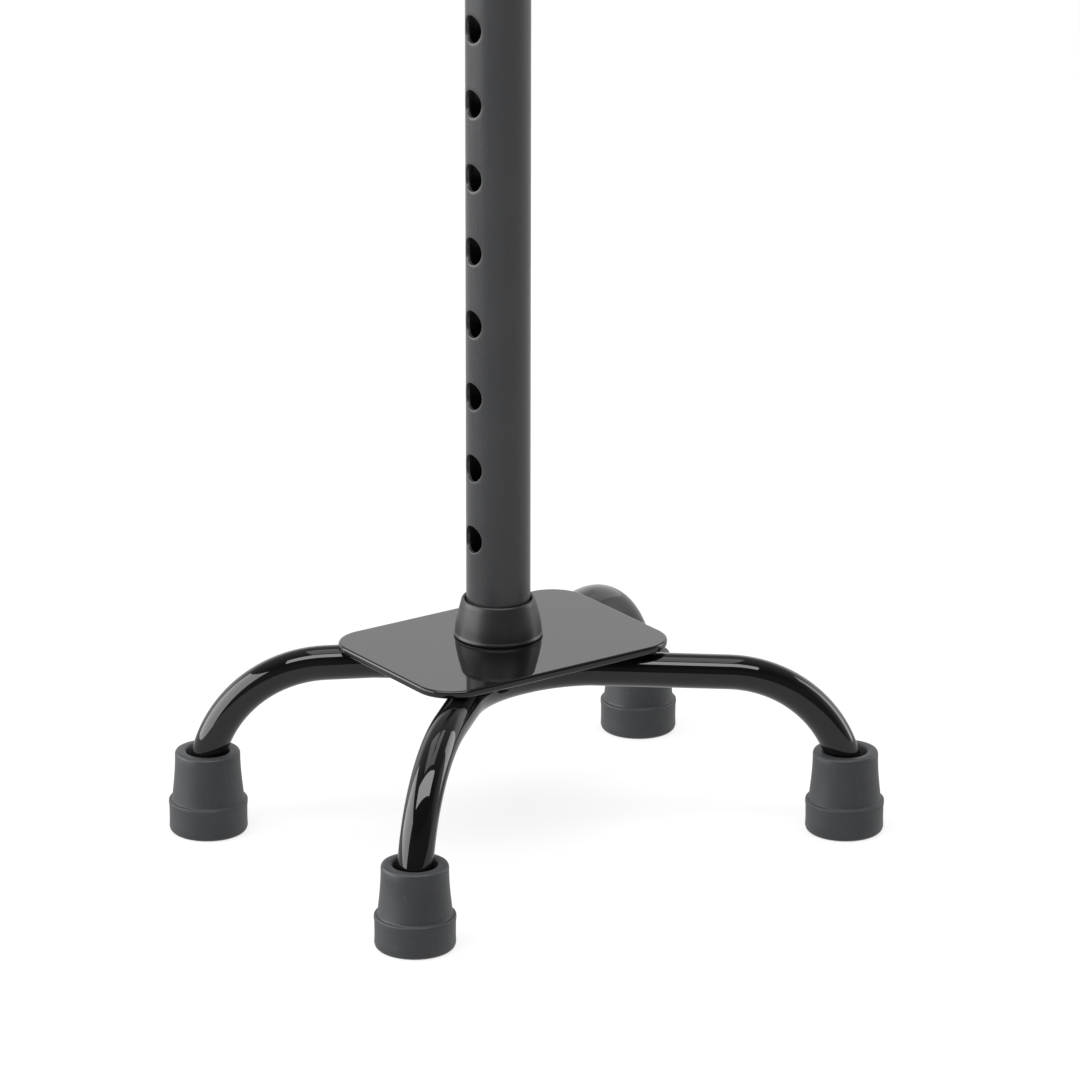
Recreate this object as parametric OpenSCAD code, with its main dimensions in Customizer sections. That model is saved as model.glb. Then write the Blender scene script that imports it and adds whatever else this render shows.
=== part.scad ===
// Height-adjustable quad walking cane: a small four-foot base, a perforated stem
// and an offset handle shaft.
// The origin is the middle of the four feet on the floor, +Z is up and +X is the walking direction.

/* [Base] */
// Distance between the foot centres along the walking direction
foot_span_x = 181; // [172:1:190]
// Distance between the front feet across the walking direction
foot_span_front = 122; // [114:1:130]
// Distance between the rear feet across the walking direction
foot_span_rear = 128.4; // [120:0.2:134]
// Length of the base plate along the walking direction
plate_l = 99.4; // [90:0.2:110]
// Width of the base plate
plate_w = 71.6; // [64:0.2:78]
// Thickness of the base plate
plate_t = 2.6; // [2:0.1:3]
// Radius of the base plate's corners
plate_corner_r = 13; // [8:0.5:16]
// Height of the base plate's top above the floor
plate_top_z = 72.4; // [68:0.2:80]
// Offset of the base plate's middle from the middle of the feet, along X
plate_x = -11; // [-14:0.1:-6]

/* [Legs] */
// Outside diameter of the bent leg tubes
leg_d = 12; // [10:0.5:14]
// Wall thickness of the leg tubes
leg_wall = 1.2; // [1:0.1:1.6]
// Distance of a leg tube's middle from the base's centre line
leg_middle_y = 15; // [12:0.2:18]
// Place of a leg tube's middle along the walking direction
leg_middle_x = -13.4; // [-16:0.2:-8]
// Centre-line radius of the bends under the plate
leg_plan_r = 46; // [36:1:50]
// Angle by which a leg slopes down from the plate
leg_slope = 4.6; // [2:0.2:6]
// Centre-line radius of the bend that takes a leg down to its foot
leg_drop_r = 46; // [44:1:48]
// Angle that a leg has reached, from level, at the end of that bend
leg_drop_turn = 75; // [72:1:77]

/* [Feet] */
// Diameter of a rubber foot's base ring at its lip
foot_d = 27.3; // [26:0.1:30]
// Height of the base ring
foot_ring_h = 11.6; // [10:0.1:13]
// Height of a whole rubber foot
foot_h = 29.2; // [28.6:0.1:31]

/* [Stem] */
// Stem axis along the walking direction
stem_x = -9.2; // [-12:0.2:-4]
// Stem axis across the walking direction
stem_y = 5.4; // [-8:0.2:8]
// Outside diameter of the lower, perforated tube
lower_d = 22; // [22:0.1:22.2]
// Outside diameter of the handle tube that slides in it
upper_d = 19; // [18.9:0.1:19]
// Wall thickness of both stem tubes
stem_wall = 1.2; // [1.1:0.1:1.2]
// Top of the lower tube
lower_top_z = 450; // [430:1:460]
// Height of the lowest adjustment hole
first_hole_z = 108.6; // [108:0.2:112]
// Pitch of the adjustment holes
hole_pitch = 25.4; // [25.4:0.1:26]
// Number of adjustment holes
hole_count = 10; // [9:1:10]
// Hole that holds the button, counted from the bottom
rest_hole = 9; // [5:1:9]
// Diameter of the adjustment holes
hole_d = 9.5; // [9.4:0.1:9.8]

/* [Handle] */
// Height of the grip's centre line when the button is in its rest hole
grip_z = 935.5; // [930:0.5:945]
// Length of the foam grip
grip_l = 125; // [115:1:130]
// Diameter of the foam grip at its ends
grip_d = 31; // [28:0.5:33]
// Angle by which the swan neck leans back from the stem
neck_lean = 55; // [50:1:58]
// Centre-line radius of the lower bend of the swan neck
neck_low_r = 50; // [45:1:55]
// Straight stretch between the swan neck's two bends
neck_straight = 40; // [34:1:42]
// Centre-line radius of the upper bend of the swan neck
neck_top_r = 38; // [36:1:42]

/* [Hidden] */
$fn = 64;

black = "#1b1b1d";
charcoal = "#46484b";
rubber = "#3a3b3e";
steel = "#b9bcc0";

// How far straight bar laps into a bend, and how much thicker it is
lap = 0.3;
lap_step = 0.06;

// Base and legs
plate_bottom_z = plate_top_z - plate_t;
leg_z = plate_bottom_z - leg_d / 2;
leg_bore_d = leg_d - 2 * leg_wall;
leg_foot_r = 12;
leg_middle_half = 1;
leg_joint = 0.6;
plan_centre_y = leg_middle_y + leg_plan_r;
leg_drop_run = leg_joint + leg_drop_r * sin(leg_drop_turn) + leg_joint * cos(leg_drop_turn)
    + leg_foot_r * (1 - sin(leg_drop_turn));
weld_sweep = 12;
weld_turn = 10;
weld_leg = 8;

// Feet
foot_floor_h = 6.5;
washer_t = 1.5;
foot_bore_r = leg_d / 2 + 0.05;
leg_end_z = foot_floor_h + washer_t;

// Stem foot
lower_bottom_z = plate_top_z + 3.4;
lower_bore_r = lower_d / 2 - stem_wall;
spigot_d = 2 * lower_bore_r - 0.2;
spigot_wall = 2.2;
spigot_h = 21;
spigot_weld_leg = 2.4;
rivet_z = plate_top_z + 7;
rivet_d = 3.2;
boot_h = 13.4;
boot_d = 30.5;

// Stem tubes and button
upper_r = upper_d / 2;
upper_bore_r = upper_r - stem_wall;
button_z = first_hole_z + (rest_hole - 1) * hole_pitch;
button_d = hole_d - 0.4;
button_proud = 1.9;
tail = 9;
upper_end_z = button_z - tail;
guide_lip = 3.5;

// Swan neck
neck_rise = neck_low_r * sin(neck_lean) + neck_straight * cos(neck_lean)
    + neck_top_r * sin(neck_lean) + neck_top_r;
neck_back = neck_low_r * (1 - cos(neck_lean)) + neck_straight * sin(neck_lean)
    - neck_top_r * cos(neck_lean);
neck_start_z = grip_z - neck_rise;
grip_run = grip_l + 3;
grip_start_x = stem_x - neck_back + 3;

// Collar, measured from the lower tube's top
collar_sleeve_h = 30;
collar_r = 14;
nose_h = 16;
ring_r = 18;
ring_h = 23.6;
flute_count = 20;

// Distance of a foot from the base's centre line: 1 is the front, -1 the rear
function foot_y(end) = (end > 0 ? foot_span_front : foot_span_rear) / 2;

// Distance along X from the start of the bend under the plate to the foot
function leg_reach(end) = foot_span_x / 2 - end * leg_middle_x - leg_middle_half;

// Distance in plan from the end of that bend to the foot
function leg_tangent(end) =
    sqrt(pow(leg_reach(end), 2) + pow(plan_centre_y - foot_y(end), 2) - pow(leg_plan_r, 2));

// Angle of that bend
function leg_plan_turn(end) =
    atan2(leg_plan_r, leg_tangent(end)) - atan2(plan_centre_y - foot_y(end), leg_reach(end));

// Length in plan of the sloping straight
function leg_slope_run(end) = leg_tangent(end) - leg_drop_run;

// Height at which a leg becomes upright
function leg_end_top_z(end) =
    leg_z - leg_slope_run(end) * tan(leg_slope) - leg_drop_r * (1 - cos(leg_drop_turn))
    - leg_joint * sin(leg_drop_turn) - leg_foot_r * cos(leg_drop_turn);

// Points of a quarter circle about c, from angle a0 to a1
function arc(c, r, a0, a1, steps = 6) =
    [for (i = [0:steps]) c + r * [cos(a0 + (a1 - a0) * i / steps), sin(a0 + (a1 - a0) * i / steps)]];

// A straight length of round bar along +Z; what follows is carried on its end. It is a hair thicker than
// the bends and laps into those at its ends, so that each joint is a clean step.
module run(d, length, lap_start = lap, lap_end = lap) {
    translate([0, 0, -lap_start]) cylinder(d = d + lap_step, h = length + lap_start + lap_end);
    translate([0, 0, length]) children();
}

// A bend that turns +Z towards +X; what follows is carried on its end
module bend(d, r, turn) {
    translate([r, 0, 0])
        mirror([1, 0, 0])
            rotate([90, 0, 0])
                rotate_extrude(angle = turn)
                    translate([r, 0])
                        circle(d = d);
    translate([r * (1 - cos(turn)), 0, r * sin(turn)])
        rotate([0, turn, 0])
            children();
}

// The bar of one leg, from the tube's middle out to its foot on the +X side
module leg_bar(d, end, extra) {
    translate([leg_middle_half, 0, 0])
        rotate([-90, 0, 0])
            rotate([0, 90, 0])
                bend(d, leg_plan_r, leg_plan_turn(end))
                    run(d, leg_joint)
                        rotate([0, 0, 90])
                            bend(d, leg_drop_r, leg_slope)
                                run(d, leg_slope_run(end) / cos(leg_slope))
                                    bend(d, leg_drop_r, leg_drop_turn - leg_slope)
                                        run(d, leg_joint)
                                            bend(d, leg_foot_r, 90 - leg_drop_turn)
                                                run(d, leg_end_top_z(end) - leg_end_z + extra, lap, 0);
}

// Both legs of one tube as solid bar of diameter d, joined by a short straight in the middle
module leg_pair(d, extra) {
    translate([leg_middle_x, -leg_middle_y, leg_z]) {
        leg_bar(d, 1, extra);
        mirror([1, 0, 0]) leg_bar(d, -1, extra);
        translate([-leg_middle_half, 0, 0]) rotate([0, 90, 0]) run(d, 2 * leg_middle_half);
    }
}

module leg_tube() {
    difference() {
        leg_pair(leg_d, 0);
        leg_pair(leg_bore_d, 1);
    }
}

module leg_tube_right() {
    color(black) leg_tube();
}

module leg_tube_left() {
    color(black) mirror([0, 1, 0]) leg_tube();
}

// Stitch welds on both sides of a leg tube's two bends, under the plate
module tube_welds() {
    for (end = [-1, 1])
        translate([leg_middle_x + end * leg_middle_half, -plan_centre_y, leg_z])
            rotate([0, 0, 90 - weld_sweep / 2 - end * weld_turn])
                rotate_extrude(angle = weld_sweep)
                    translate([leg_plan_r, 0])
                        for (s = [-1, 1])
                            difference() {
                                polygon([
                                    [2.2 * s, 4], [2.2 * s, leg_d / 2], [weld_leg * s, leg_d / 2],
                                    [5.2 * s, 3]
                                ]);
                                circle(d = leg_d + 0.1);
                            }
}

module leg_welds() {
    color(black) {
        tube_welds();
        mirror([0, 1, 0]) tube_welds();
    }
}

module base_plate() {
    color(black)
        translate([plate_x, 0, plate_bottom_z])
            linear_extrude(plate_t) {
                square([plate_l - 2 * plate_corner_r, plate_w], center = true);
                square([plate_l, plate_w - 2 * plate_corner_r], center = true);
                for (sx = [-1, 1], sy = [-1, 1])
                    translate([sx * (plate_l / 2 - plate_corner_r), sy * (plate_w / 2 - plate_corner_r)])
                        circle(r = plate_corner_r);
            }
}

// A rubber foot: base ring with two grooves in its tread, and a tapered socket for the leg
module foot(end, side) {
    r = foot_d / 2;
    color(rubber)
        translate([end * foot_span_x / 2, side * foot_y(end), 0])
            rotate_extrude()
                polygon(concat(
                    [[0, 0], [5, 0], [5, 1.2], [6.5, 1.2], [6.5, 0], [9, 0], [9, 1.2], [10.5, 1.2],
                    [10.5, 0]],
                    arc([r - 1.7, 1.6], 1.6, -90, 0),
                    [[r - 0.15, foot_ring_h - 2], [r, foot_ring_h - 1]],
                    arc([r - 0.4, foot_ring_h - 0.4], 0.4, 0, 90, 4),
                    [[r - 1.1, foot_ring_h], [r - 1.25, foot_ring_h + 0.6], [r - 1.45, foot_ring_h + 2.9],
                     [r - 1.85, foot_ring_h + 6.5], [r - 2.18, foot_ring_h + 10.4],
                     [r - 2.38, foot_ring_h + 14.4]],
                    arc([r - 3.3, foot_h - 0.95], 0.95, 0, 90),
                    [[foot_bore_r + 1.6, foot_h], [foot_bore_r, foot_h - 7.5], [foot_bore_r, foot_floor_h],
                     [0, foot_floor_h]]
                ));
}

module foot_front_right() { foot(1, -1); }
module foot_front_left() { foot(1, 1); }
module foot_rear_right() { foot(-1, -1); }
module foot_rear_left() { foot(-1, 1); }

// Steel discs that keep the leg ends from cutting through the rubber
module foot_washers() {
    color(steel)
        for (end = [-1, 1], side = [-1, 1])
            translate([end * foot_span_x / 2, side * foot_y(end), foot_floor_h])
                cylinder(r = foot_bore_r - 0.1, h = washer_t);
}

// Puts its children on the stem axis at height z
module on_stem(z = 0) {
    translate([stem_x, stem_y, z]) children();
}

// Stub tube welded on the plate, which carries the lower tube
module stem_spigot() {
    color(steel)
        on_stem()
            difference() {
                translate([0, 0, plate_top_z]) cylinder(d = spigot_d, h = spigot_h);
                translate([0, 0, plate_top_z - 1])
                    cylinder(d = spigot_d - 2 * spigot_wall, h = spigot_h + 2);
                translate([0, 0, rivet_z]) rotate([90, 0, 0])
                    cylinder(d = rivet_d, h = lower_d, center = true);
            }
}

module spigot_weld() {
    r = spigot_d / 2;
    color(black)
        on_stem(plate_top_z)
            rotate_extrude()
                polygon([[r, 0], [r + spigot_weld_leg, 0], [r + 0.9, 0.9], [r, spigot_weld_leg]]);
}

// Two blind rivets through the lower tube and the spigot, hidden by the boot
module spigot_rivets() {
    color(steel)
        on_stem(rivet_z)
            for (side = [-1, 1])
                rotate([-90 * side, 0, 0]) {
                    translate([0, 0, spigot_d / 2 - spigot_wall - 1.6])
                        cylinder(d = rivet_d + 1.2, h = 1.2);
                    translate([0, 0, spigot_d / 2 - spigot_wall - 0.5])
                        cylinder(d = rivet_d - 0.1, h = lower_d / 2 - spigot_d / 2 + spigot_wall + 0.6);
                    translate([0, 0, lower_d / 2]) cylinder(d1 = 6, d2 = 4, h = 0.8);
                }
}

// Flared rubber boot round the foot of the stem
module stem_boot() {
    r0 = boot_d / 2;
    color(rubber)
        on_stem(plate_top_z)
            rotate_extrude()
                polygon([
                    [12.3, 0], [r0 - 0.3, 0], [r0, 0.3], [r0, 1.2], [r0 - 0.35, 3.4], [r0 - 0.95, 6.2],
                    [r0 - 1.7, 9.2], [r0 - 2.35, 11.6], [r0 - 2.7, boot_h - 0.4], [r0 - 3, boot_h],
                    [11.75, boot_h], [11.35, boot_h - 0.4], [11.35, boot_h - 2.6], [12.3, boot_h - 3.4]
                ]);
}

// Lower tube with its column of adjustment holes through both walls
module lower_tube() {
    color(charcoal)
        on_stem()
            difference() {
                translate([0, 0, lower_bottom_z]) cylinder(d = lower_d, h = lower_top_z - lower_bottom_z);
                translate([0, 0, lower_bottom_z - 1])
                    cylinder(r = lower_bore_r, h = lower_top_z - lower_bottom_z + 2);
                for (i = [0:hole_count - 1])
                    translate([0, 0, first_hole_z + i * hole_pitch])
                        rotate([0, 90, 0])
                            cylinder(d = hole_d, h = 2 * lower_d, center = true);
                translate([0, 0, rivet_z])
                    rotate([90, 0, 0])
                        cylinder(d = rivet_d, h = 2 * lower_d, center = true);
            }
}

// Moulded collar fixed on the lower tube's top, with a threaded nose
module collar_body() {
    r = collar_r;
    seat_r = lower_d / 2 + 0.05;
    color(black)
        on_stem(lower_top_z)
            rotate_extrude()
                polygon(concat(
                    [[seat_r, -collar_sleeve_h], [r - 1.6, -collar_sleeve_h],
                    [r - 0.8, -collar_sleeve_h + 0.8],
                     [r, -12], [r, -9]],
                    arc([r + 1.5, -8], 1, -90, 0),
                    arc([r + 1.5, -3], 1, 0, 90),
                    [[r, -2]],
                    [for (z = [3:3:12]) each [[r, z - 0.9], [r + 0.6, z - 0.3], [r + 0.6, z + 0.3],
                    [r, z + 0.9]]],
                    [[r, nose_h], [12.7, nose_h], [12.2, 4], [upper_r + 0.5, 4], [upper_r + 0.5, 0.05],
                    [seat_r, 0.05]]
                ));
}

// Split bush in the collar that grips the handle tube and turns with it
module collar_bush() {
    color("#d8d8d4")
        on_stem(lower_top_z)
            difference() {
                rotate_extrude()
                    polygon([
                        [upper_r + 0.15, 4.4], [11.9, 4.4], [12.35, 15.5], [12.35, nose_h + 0.4],
                        [13.2, nose_h + 0.4],
                        [13.2, nose_h + 2.4], [upper_r + 0.15, nose_h + 2.4]
                    ]);
                translate([0, -0.75, 0]) cube([20, 1.5, 30]);
            }
}

// Fluted ring that is turned to clamp the bush
module lock_ring() {
    color(black)
        on_stem(lower_top_z)
            difference() {
                rotate_extrude()
                    polygon(concat(
                        [[15.2, -1.6], [ring_r - 0.8, -1.6], [ring_r, -0.8]],
                        arc([ring_r - 2.5, ring_h - 1.6 - 2.5], 2.5, 0, 90),
                        [[upper_r + 1, ring_h - 1.6], [upper_r + 0.5, ring_h - 2.1], [upper_r + 0.5, 18.8],
                         [13.6, 18.8], [13.6, nose_h + 0.2], [14.6, nose_h + 0.2], [15.2, nose_h - 0.4]]
                    ));
                for (i = [0:flute_count - 1])
                    rotate([0, 0, i * 360 / flute_count])
                        translate([ring_r + 0.9, 0, 1.4])
                            cylinder(r = 1.7, h = 15);
            }
}

// The handle tube's bar: straight stem, swan neck and grip stretch, starting at its lower end
module handle_bar(d, extra) {
    on_stem(upper_end_z - extra)
        rotate([0, 0, 180])
            run(d, neck_start_z - upper_end_z + extra, 0)
                bend(d, neck_low_r, neck_lean)
                    run(d, neck_straight)
                        rotate([0, 0, 180])
                            bend(d, neck_top_r, 90 + neck_lean)
                                run(d, grip_run + extra, lap, 0);
}

module upper_tube() {
    color(charcoal)
        difference() {
            handle_bar(upper_d, 0);
            handle_bar(2 * upper_bore_r, 1);
            on_stem(button_z) rotate([0, -90, 0]) cylinder(d = hole_d, h = upper_d);
        }
}

// Plastic guide in the lower end of the handle tube
module tube_end_guide() {
    color(black)
        on_stem(upper_end_z)
            rotate_extrude()
                polygon([
                    [6.4, -guide_lip], [upper_r - 0.4, -guide_lip], [upper_r + 0.1, -guide_lip + 0.6],
                    [upper_r + 0.1, 0], [upper_bore_r - 0.02, 0], [upper_bore_r - 0.02, 3], [6.4, 3]
                ]);
}

// Domed button with a flange that keeps it in the handle tube
module snap_button() {
    r = button_d / 2;
    top = lower_d / 2 + button_proud;
    color(steel)
        on_stem(button_z)
            rotate([0, -90, 0])
                rotate_extrude()
                    polygon(concat(
                        [[0, 5.6], [5.4, 5.6], [5.4, 6.2], [r, 6.2], [r, top - 1.6]],
                        arc([r - 1.6, top - 1.6], 1.6, 15, 90, 4),
                        [[0, top]]
                    ));
}

// Leaf spring folded into a V, which pushes the button outwards
module button_spring() {
    t = 0.6;
    color(steel)
        on_stem(button_z)
            rotate([90, 0, 0])
                linear_extrude(7, center = true)
                    polygon([
                        [-5.5, -5], [-5.5 + t, -5], [-5.5 + t, 5], [2.2, 37], [2.8, 37], [6.4, -5],
                        [6.4 + t, -5],
                        [3.4, 37.6], [1.6, 37.6], [-5.5, 5.1]
                    ]);
}

// Foam grip over the handle tube, a little fuller in its middle
module handle_grip() {
    end_r = 5;
    swell = 1.6;
    steps = 14;
    straight = grip_l - 2 * end_r;
    color("#232325")
        translate([grip_start_x, stem_y, grip_z])
            rotate([0, 90, 0])
                rotate_extrude()
                    polygon(concat(
                        [[upper_r + 0.04, 0]],
                        arc([grip_d / 2 - end_r, end_r], end_r, -90, 0),
                        [for (i = [1:steps - 1])
                            [grip_d / 2 + swell * pow(sin(180 * i / steps), 2),
                            end_r + straight * i / steps]],
                        arc([grip_d / 2 - end_r, grip_l - end_r], end_r, 0, 90),
                        [[upper_r + 0.04, grip_l]]
                    ));
}

// Plug that closes the front end of the handle tube and stops the grip
module handle_end_plug() {
    color(black)
        translate([grip_start_x + grip_l, stem_y, grip_z])
            rotate([0, 90, 0])
                rotate_extrude()
                    polygon(concat(
                        [[0, -12], [upper_bore_r - 0.6, -12], [upper_bore_r - 0.02, -11],
                        [upper_bore_r - 0.02, 0],
                         [11.5, 0]],
                        arc([10, 1.5], 1.5, 0, 90, 4),
                        [[0, 3.6]]
                    ));
}

base_plate();
leg_tube_right();
leg_tube_left();
leg_welds();
foot_front_right();
foot_front_left();
foot_rear_right();
foot_rear_left();
foot_washers();
stem_spigot();
spigot_weld();
spigot_rivets();
stem_boot();
lower_tube();
collar_body();
collar_bush();
lock_ring();
upper_tube();
tube_end_guide();
snap_button();
button_spring();
handle_grip();
handle_end_plug();
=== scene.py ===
import math

import bmesh
import bpy
from mathutils import Matrix, Vector


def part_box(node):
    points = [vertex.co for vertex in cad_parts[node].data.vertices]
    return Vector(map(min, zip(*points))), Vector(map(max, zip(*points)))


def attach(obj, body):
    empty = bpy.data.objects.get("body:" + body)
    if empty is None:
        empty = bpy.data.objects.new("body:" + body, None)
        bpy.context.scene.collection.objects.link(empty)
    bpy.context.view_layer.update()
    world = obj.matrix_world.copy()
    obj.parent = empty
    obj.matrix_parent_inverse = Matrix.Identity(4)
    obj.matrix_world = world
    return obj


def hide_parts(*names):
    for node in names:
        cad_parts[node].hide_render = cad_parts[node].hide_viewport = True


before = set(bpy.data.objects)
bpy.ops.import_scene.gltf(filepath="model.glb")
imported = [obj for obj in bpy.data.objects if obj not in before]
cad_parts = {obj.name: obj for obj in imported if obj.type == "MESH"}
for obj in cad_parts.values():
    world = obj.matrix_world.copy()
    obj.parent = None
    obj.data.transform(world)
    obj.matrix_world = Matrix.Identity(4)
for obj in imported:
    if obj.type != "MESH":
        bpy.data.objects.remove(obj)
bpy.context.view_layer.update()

# ---------------------------------------------------------------- Studio
# A plain white floor in a white surround, a wide strip light in front and above, a soft light overhead
# and one at each side. The camera stands two metres off and looks down on the base with a long lens.

tube_low, tube_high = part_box("lower_tube")
stem = Vector(((tube_low.x + tube_high.x) / 2, (tube_low.y + tube_high.y) / 2, 0))

heading = math.radians(34.97)
look_down = math.radians(18.74)
camera_roll = math.radians(0.11)
camera_distance = 1.9757
camera_side = 0.0142
camera_height = 0.7766
ahead = Vector((math.sin(heading), math.cos(heading), 0))
aside = Vector((math.cos(heading), -math.sin(heading), 0))

camera_data = bpy.data.cameras.new("camera")
camera_data.lens = 204.2
camera_data.sensor_width = 36
camera_data.clip_end = 60
camera = bpy.data.objects.new("camera", camera_data)
camera.location = stem - camera_distance * ahead + camera_side * aside + Vector((0, 0, camera_height))
tilt = Matrix.Rotation(math.radians(90) - look_down, 3, "X")
facing = Matrix.Rotation(-heading, 3, "Z") @ tilt @ Matrix.Rotation(camera_roll, 3, "Z")
camera.rotation_euler = facing.to_euler()
bpy.context.scene.collection.objects.link(camera)
bpy.context.scene.camera = camera
bpy.context.scene.view_settings.view_transform = "Standard"


def studio_paint(name, lift, felt):
    """White for the floor.

    The camera sees it lifted by 'lift' towards an even glow, so that shadows are faint. Reflections see
    it as an even glow of strength 'felt'.
    """
    made = bpy.data.materials.new(name)
    made.use_nodes = True
    nodes, links = made.node_tree.nodes, made.node_tree.links
    nodes.clear()
    path = nodes.new("ShaderNodeLightPath")
    glow = nodes.new("ShaderNodeEmission")
    near = nodes.new("ShaderNodeBsdfDiffuse")
    near.inputs["Color"].default_value = (0.97, 0.97, 0.97, 1)
    lifted = nodes.new("ShaderNodeMixShader")
    lifted.inputs["Fac"].default_value = lift
    far = nodes.new("ShaderNodeEmission")
    far.inputs["Color"].default_value = (felt, felt, felt, 1)
    mix = nodes.new("ShaderNodeMixShader")
    out = nodes.new("ShaderNodeOutputMaterial")
    links.new(near.outputs[0], lifted.inputs[1])
    links.new(glow.outputs[0], lifted.inputs[2])
    links.new(path.outputs["Is Camera Ray"], mix.inputs["Fac"])
    links.new(far.outputs[0], mix.inputs[1])
    links.new(lifted.outputs[0], mix.inputs[2])
    links.new(mix.outputs[0], out.inputs["Surface"])
    return made


floor_bm = bmesh.new()
bmesh.ops.create_grid(floor_bm, x_segments=1, y_segments=1, size=12)
floor_mesh = bpy.data.meshes.new("floor")
floor_bm.to_mesh(floor_mesh)
floor_bm.free()
floor_mesh.materials.append(studio_paint("floor_white", 0.75, 0.75))
floor = bpy.data.objects.new("floor", floor_mesh)
bpy.context.scene.collection.objects.link(floor)


def soft_light(name, place, aim, width, height, power):
    """A rectangular light at a place, aimed at another."""
    light = bpy.data.lights.new(name, "AREA")
    light.shape = "RECTANGLE"
    light.size, light.size_y = width, height
    light.energy = power
    held = bpy.data.objects.new(name, light)
    held.location = place
    held.rotation_euler = (aim - place).to_track_quat("-Z", "Y").to_euler()
    bpy.context.scene.collection.objects.link(held)


def beside(turn, distance, rise):
    """A place round the cane's middle. Turn 0 is towards the camera, and left of it is negative."""
    return middle + distance * (Matrix.Rotation(turn, 3, "Z") @ -ahead) + Vector((0, 0, rise))


middle = stem + Vector((0, 0, 0.2))
strip_height = math.radians(66)
strip_way = math.sin(strip_height) * Vector((0, 0, 1)) - math.cos(strip_height) * ahead
soft_light("front_strip", stem + 2.6 * strip_way, stem, 3.4, 0.95, 62)
soft_light("overhead", stem + Vector((0, 0, 3.2)) + 0.5 * ahead, stem, 2.4, 2.0, 26)
soft_light("left_box", beside(math.radians(-85), 1.7, 0.25), middle, 2.2, 1.7, 52)
soft_light("right_box", beside(math.radians(112), 1.9, 0.4), middle, 0.6, 1.5, 9)

# The surround: white to the camera. Reflections see it bright low down behind the cane, and darker
# higher up and on the camera's side.
world = bpy.data.worlds.new("surround")
world.use_nodes = True
bpy.context.scene.world = world
nodes, links = world.node_tree.nodes, world.node_tree.links
nodes.clear()
path = nodes.new("ShaderNodeLightPath")
seen = nodes.new("ShaderNodeBackground")
seen.inputs["Color"].default_value = (1, 1, 1, 1)
seen.inputs["Strength"].default_value = 1.0
coordinates = nodes.new("ShaderNodeTexCoord")
turn = nodes.new("ShaderNodeMapping")
turn.vector_type = "TEXTURE"
turn.inputs["Rotation"].default_value = (0, 0, -heading)
apart = nodes.new("ShaderNodeSeparateXYZ")
ramp = nodes.new("ShaderNodeValToRGB")
stops = ramp.color_ramp.elements
stops[0].position, stops[0].color = 0.34, (0.10, 0.10, 0.10, 1)
stops[1].position, stops[1].color = 0.82, (1, 1, 1, 1)
spread = nodes.new("ShaderNodeMapRange")
spread.inputs["From Min"].default_value = -1
spread.inputs["From Max"].default_value = 1
felt = nodes.new("ShaderNodeBackground")
above = nodes.new("ShaderNodeMapRange")
above.inputs["From Min"].default_value = 0.37
above.inputs["From Max"].default_value = 0.54
above.inputs["To Min"].default_value = 1.22
above.inputs["To Max"].default_value = 0.42
mix = nodes.new("ShaderNodeMixShader")
out = nodes.new("ShaderNodeOutputWorld")
links.new(coordinates.outputs["Generated"], turn.inputs["Vector"])
links.new(turn.outputs["Vector"], apart.inputs["Vector"])
links.new(apart.outputs["Y"], spread.inputs["Value"])
links.new(spread.outputs["Result"], ramp.inputs["Fac"])
links.new(ramp.outputs["Color"], felt.inputs["Color"])
links.new(apart.outputs["Z"], above.inputs["Value"])
links.new(above.outputs["Result"], felt.inputs["Strength"])
links.new(path.outputs["Is Camera Ray"], mix.inputs["Fac"])
links.new(felt.outputs[0], mix.inputs[1])
links.new(seen.outputs[0], mix.inputs[2])
links.new(mix.outputs[0], out.inputs["Surface"])

# ---------------------------------------------------------------- Base plate
# A pressed steel plate with rounded corners and softened edges. It is powder coated in gloss black,
# which is mirror flat apart from a slight orange peel, and it carries the stem on its top.

mm = 0.001


def effect(name, inputs, outputs):
    """An empty shader node group with named value inputs, a Vector input and value outputs."""
    made = bpy.data.node_groups.new(name, "ShaderNodeTree")
    made.interface.new_socket("Vector", in_out="INPUT", socket_type="NodeSocketVector")
    for label, value in inputs:
        socket = made.interface.new_socket(label, in_out="INPUT", socket_type="NodeSocketFloat")
        socket.default_value = value
    for label in outputs:
        made.interface.new_socket(label, in_out="OUTPUT", socket_type="NodeSocketFloat")
    return made, made.nodes.new("NodeGroupInput"), made.nodes.new("NodeGroupOutput")


def noise(tree, vector, scale, detail, scale_link=None, roughness=0.5):
    """Noise from 0 to 1. A link takes the place of the scale."""
    made = tree.nodes.new("ShaderNodeTexNoise")
    made.inputs["Scale"].default_value = scale
    made.inputs["Detail"].default_value = detail
    made.inputs["Roughness"].default_value = roughness
    tree.links.new(vector, made.inputs["Vector"])
    if scale_link:
        tree.links.new(scale_link, made.inputs["Scale"])
    return made.outputs["Fac"]


def fit_range(tree, value, low, high, to_low, to_high):
    """Moves a value from one range to another and holds it there."""
    made = tree.nodes.new("ShaderNodeMapRange")
    for label, number in (("From Min", low), ("From Max", high), ("To Min", to_low), ("To Max", to_high)):
        made.inputs[label].default_value = number
    tree.links.new(value, made.inputs["Value"])
    return made.outputs["Result"]


def combine(tree, operation, a, b):
    """Adds or multiplies two sockets or numbers."""
    made = tree.nodes.new("ShaderNodeMath")
    made.operation = operation
    for socket, value in zip(made.inputs, (a, b)):
        if isinstance(value, (int, float)):
            socket.default_value = value
        else:
            tree.links.new(value, socket)
    return made.outputs[0]


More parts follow.
